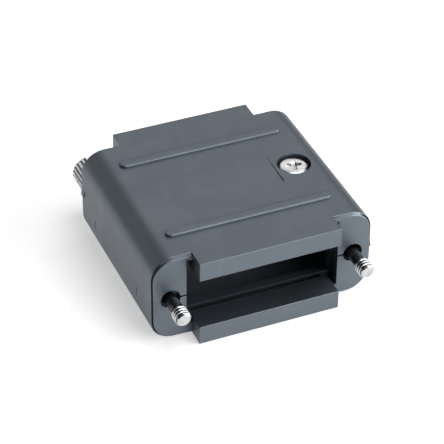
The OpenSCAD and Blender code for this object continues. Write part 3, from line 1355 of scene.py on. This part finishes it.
@dataclass(frozen=True)
class Jackscrew:
    """Long screw with a rolled thread in front and a slotted knurled head behind.

    It is turned standing up along Z and then laid down along Y.
    """

    body: Body
    thread_r: float = 1.42 * MM
    root_r: float = 1.04 * MM
    shank_r: float = 1.1 * MM
    tip_r: float = 1.03 * MM
    pitch: float = 0.635 * MM
    thread_len: float = 2.8 * MM
    head_len: float = 6.0 * MM
    chamfer: float = 0.4 * MM
    chamfer_mid: tuple[float, float] = (0.6, 0.75)
    chamfer_soft: float = 0.08 * MM
    knurl_depth: float = 0.28 * MM
    knurl_bend: float = 1.4
    knurl_count: int = 24
    knurl_samples: int = 8
    slot_w: float = 0.9 * MM
    slot_depth: float = 1.2 * MM
    # share of the thread's depth, from the root, that carries painted shade
    shaded_root_share: float = 0.5
    crest_share: float = 0.97
    # painted shade in the knurl's valleys
    valley_shade: float = 0.85

    def ridge(self, share: float) -> float:
        """Depth of the knurl at a share of one ridge: rounded crests and pointed valleys."""
        return self.knurl_depth * abs(2 * (share % 1.0) - 1) ** self.knurl_bend

    def shade_share(self, place: Vector, thread: tuple[float, float], head: tuple[float, float]) -> float:
        """How much painted shade a place gets, for the shade in the hole and in the creases: the shank
        and the thread's root most, the knurl's valleys less.

        Args:
            place: The place, with its distance from the axis in X and Z.
            thread: Where the thread starts and ends.
            head: Where the head starts, and its radius over the ridges.

        Returns:
            The share of painted shade, from 0 to 1.
        """
        radius = math.hypot(place.x, place.z)
        if place.y > head[0]:
            in_valley = self.thread_r < radius < head[1] - self.knurl_depth / 2
            return self.valley_shade if in_valley else 0.0
        if place.y > thread[1]:
            return 1.0
        deep = radius < self.root_r + self.shaded_root_share * (self.thread_r - self.root_r)
        return 1.0 if deep and place.y > thread[0] + self.pitch / 2 else 0.0

    def rubbed(self, place: Vector, head: tuple[float, float]) -> float:
        """How rubbed a place is: the knurl's ridges and the thread's crest are.

        Args:
            place: The place, with its distance from the axis in X and Z.
            head: Where the head starts, and its radius over the ridges.

        Returns:
            The share of wear, from 0 to 1.
        """
        on_head = place.y > head[0]
        crest = head[1] - self.knurl_depth / 2 if on_head else self.crest_share * self.thread_r
        return 1.0 if math.hypot(place.x, place.z) > crest else 0.0

    def head(self, bm: bmesh.types.BMesh, joint: Ring, low: float, head_r: float) -> None:
        """Adds the knurled head above its joint with the shank.

        Args:
            bm: The screw's mesh.
            joint: The shank's last ring, which lies in the head's lower face.
            low: Height of that face.
            head_r: Radius over the ridges.
        """
        count = self.knurl_count * self.knurl_samples
        high = low + self.head_len
        foot = head_r - self.chamfer
        up, out = (share * self.chamfer for share in self.chamfer_mid)
        straight = self.chamfer + self.chamfer_soft
        levels = [
            (low, foot),
            (low + up, foot + out),
            (low + straight, head_r),
            (high - straight, head_r),
            (high - up, foot + out),
            (high, foot),
        ]
        rings = []
        for height, limit in levels:
            ring = []
            for i in range(count):
                angle = FULL_TURN * i / count
                radius = min(limit, head_r - self.ridge(i / self.knurl_samples))
                place = (radius * math.cos(angle), radius * math.sin(angle), height)
                ring.append(bm.verts.new(place))
            rings.append(ring)
        wall(bm, rings)
        bm.faces.new(rings[-1])
        loops = []
        for ring in (rings[0], joint):
            for pair in zip(ring, ring[1:] + ring[:1]):
                loops.append(bm.edges.get(pair) or bm.edges.new(pair))
        bmesh.ops.triangle_fill(bm, edges=loops, use_beauty=True, normal=(0, 0, -1))

    def slot_tool(self, head_r: float, end: float) -> bpy.types.Object:
        """Makes the bar that cuts the driver's slot.

        Args:
            head_r: Radius of the head.
            end: Height of the head's end.

        Returns:
            The tool.
        """
        bm = bmesh.new()
        bmesh.ops.create_cube(bm, size=1.0)
        bmesh.ops.scale(bm, vec=(self.slot_w, 4 * head_r, 2 * self.slot_depth), verts=bm.verts)
        bmesh.ops.translate(bm, vec=(0, 0, end), verts=bm.verts)
        return smooth_piece("slot_tool", bm)

    def build(self, material: bpy.types.Material) -> bpy.types.Object:
        """Builds the jackscrew on its CAD node's axis, with its tip and head where the node's are.

        Args:
            material: Its finish.

        Returns:
            The piece.
        """
        low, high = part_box(self.body.value)
        bm = bmesh.new()
        thread_end = low.y + self.thread_len
        head_start = high.y - self.head_len
        head_r = (high.x - low.x) / 2
        thread = HelicalThread(
            crest_r=self.thread_r,
            root_r=self.root_r,
            shank_r=self.shank_r,
            pitch=self.pitch,
            start=low.y,
            end=thread_end,
            tip_r=self.tip_r,
        )
        tip, neck = thread.add_to(bm)
        bm.faces.new(list(reversed(tip)))
        joint = [bm.verts.new((v.co.x, v.co.y, head_start)) for v in neck]
        wall(bm, [neck, joint])
        self.head(bm, joint, head_start, head_r)
        bmesh.ops.recalc_face_normals(bm, faces=bm.faces)
        piece = smooth_piece(f"{self.body.value}_turned", bm)
        cut(piece, self.slot_tool(head_r, high.y))
        piece.data.shade_smooth()
        piece.data.set_sharp_from_angle(angle=math.radians(CREASE))
        axis = Vector(((low.x + high.x) / 2, 0, (low.z + high.z) / 2))
        lay_down = Matrix.Rotation(-math.pi / 2, 4, "X")
        piece.data.transform(Matrix.Translation(axis) @ lay_down)
        ends = (low.y, thread_end)
        head = (head_start, head_r)
        # painted shade on the shank, the thread's roots and the knurl's valleys
        mark_faces(piece, PAINTED_SHADE, lambda face: self.shade_share(face.center - axis, ends, head))
        mark_faces(piece, WEAR, lambda face: self.rubbed(face.center - axis, head))
        settle(piece, self.body, self.body.value, material)
        return piece


# Studio


@dataclass(frozen=True)
class SoftBox:
    """A rectangular studio lamp that faces the object; brightness 1 looks white."""

    name: str
    place: Point
    size: tuple[float, float]
    brightness: float

    def build(self) -> None:
        """Sets up the lamp."""
        data = bpy.data.lights.new(self.name, "AREA")
        data.shape = "RECTANGLE"
        data.size, data.size_y = self.size
        data.energy = self.brightness * math.pi * self.size[0] * self.size[1]
        lamp = bpy.data.objects.new(self.name, data)
        lamp.location = self.place
        lamp.rotation_euler = (-Vector(self.place)).to_track_quat("-Z", "Y").to_euler()
        bpy.context.scene.collection.objects.link(lamp)


@dataclass(frozen=True)
class Studio:
    """Pale floor, soft light and the camera at the photograph's viewing angle.

    The camera's angles are in degrees, its focal length is in pixels of the photograph and its
    sensor is in millimetres.
    """

    azimuth: float = 23.409
    elevation: float = 36.935
    roll: float = 0.696
    target: Point = (3.912 * MM, 9.675 * MM, 0.0)
    distance: float = 368.8 * MM
    focal_pixels: float = 2046.6
    image_pixels: float = 444.0
    sensor: float = 36.0
    floor_size: float = 6.0
    floor_drop: float = 0.02 * MM
    floor_colour: Colour = grey(0.8)
    floor_glow: float = 0.5
    world_brightness: float = 0.02
    lamps: tuple[SoftBox, ...] = (
        SoftBox("key", (0.70, -0.56, 0.26), (1.3, 0.8), 5.2),
        SoftBox("rear", (0.286, 0.66, 0.54), (0.7, 0.7), 0.95),
        SoftBox("overhead", (0.25, 0.0, 0.85), (0.6, 0.6), 3.4),
        SoftBox("front", (0.25, -0.8, 0.12), (0.3, 0.2), 4.5),
        SoftBox("sweep", (-0.47, 0.74, 0.42), (0.8, 0.6), 0.6),
    )

    def build_camera(self) -> None:
        """Places the camera that the photograph was fitted with."""
        az, el, roll = (math.radians(a) for a in (self.azimuth, self.elevation, self.roll))
        back = Vector((-math.sin(az) * math.cos(el), -math.cos(az) * math.cos(el), math.sin(el)))
        level = Vector((math.cos(az), -math.sin(az), 0))
        upright = back.cross(level)
        right = math.cos(roll) * level + math.sin(roll) * upright
        up = -math.sin(roll) * level + math.cos(roll) * upright
        data = bpy.data.cameras.new("camera")
        data.sensor_width = self.sensor
        data.lens = self.focal_pixels / self.image_pixels * self.sensor
        camera = bpy.data.objects.new("camera", data)
        turn = Matrix((right, up, back)).transposed().to_4x4()
        camera.matrix_world = Matrix.Translation(Vector(self.target) + back * self.distance) @ turn
        bpy.context.scene.collection.objects.link(camera)
        bpy.context.scene.camera = camera

    def build_floor(self) -> None:
        """Lays the pale floor just under the object; to the camera it glows up to white."""
        bm = bmesh.new()
        bmesh.ops.create_grid(bm, x_segments=1, y_segments=1, size=self.floor_size / 2)
        floor = smooth_piece("floor", bm)
        floor.location.z = -self.floor_drop
        material, bench = new_material("floor")
        paths = bench.add("ShaderNodeLightPath")
        shown = bench.maths("MAXIMUM", paths.outputs["Is Camera Ray"], paths.outputs["Is Glossy Ray"])
        shown = bench.maths("MAXIMUM", shown, paths.outputs["Is Transmission Ray"])
        strength = bench.maths("MULTIPLY", shown, self.floor_glow)
        matt = bench.add("ShaderNodeBsdfDiffuse", {"Color": self.floor_colour})
        glow = bench.add("ShaderNodeEmission", {"Strength": strength})
        both = bench.add("ShaderNodeAddShader", {0: matt.outputs[0], 1: glow.outputs[0]})
        bench.add("ShaderNodeOutputMaterial", {"Surface": both.outputs[0]})
        floor.data.materials.append(material)

    def build_world(self) -> None:
        """Even pale surroundings."""
        world = bpy.data.worlds.new("studio")
        world.use_nodes = True
        bench = Bench(world.node_tree)
        light = bench.add(
            "ShaderNodeBackground", {"Color": grey(1.0), "Strength": self.world_brightness}
        )
        bench.add("ShaderNodeOutputWorld", {"Surface": light.outputs[0]})
        bpy.context.scene.world = world

    def build(self) -> None:
        """Sets up the whole studio."""
        self.build_camera()
        self.build_floor()
        self.build_world()
        for lamp in self.lamps:
            lamp.build()
        bpy.context.scene.view_settings.view_transform = "Standard"


def main() -> None:
    """Builds the studio and the hood's pieces."""
    logging.basicConfig(level=logging.INFO, format="%(name)s %(message)s")
    Studio().build()
    effects = Effects()
    plastic = MouldedPlastic().build(effects)
    screw_steel = PlatedMetal("bright_nickel_screw", roughness=0.2).build(effects)
    jackscrew_metal = PlatedMetal(
        "bright_nickel_jackscrew",
        colour=(0.58, 0.59, 0.6, 1.0),
        dulled=(0.44, 0.45, 0.46, 1.0),
        roughness=0.25,
    ).build(effects)
    for body in (Body.LEFT, Body.RIGHT):
        Jackscrew(body).build(jackscrew_metal)
    low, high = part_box(Body.LEFT.value)
    split_z = (low.z + high.z) / 2
    HalfShell("lower_shell", split_z).build(plastic)
    HalfShell("upper_shell", split_z).build(plastic)
    ClosingScrew().build(screw_steel)


if __name__ == "__main__":
    main()
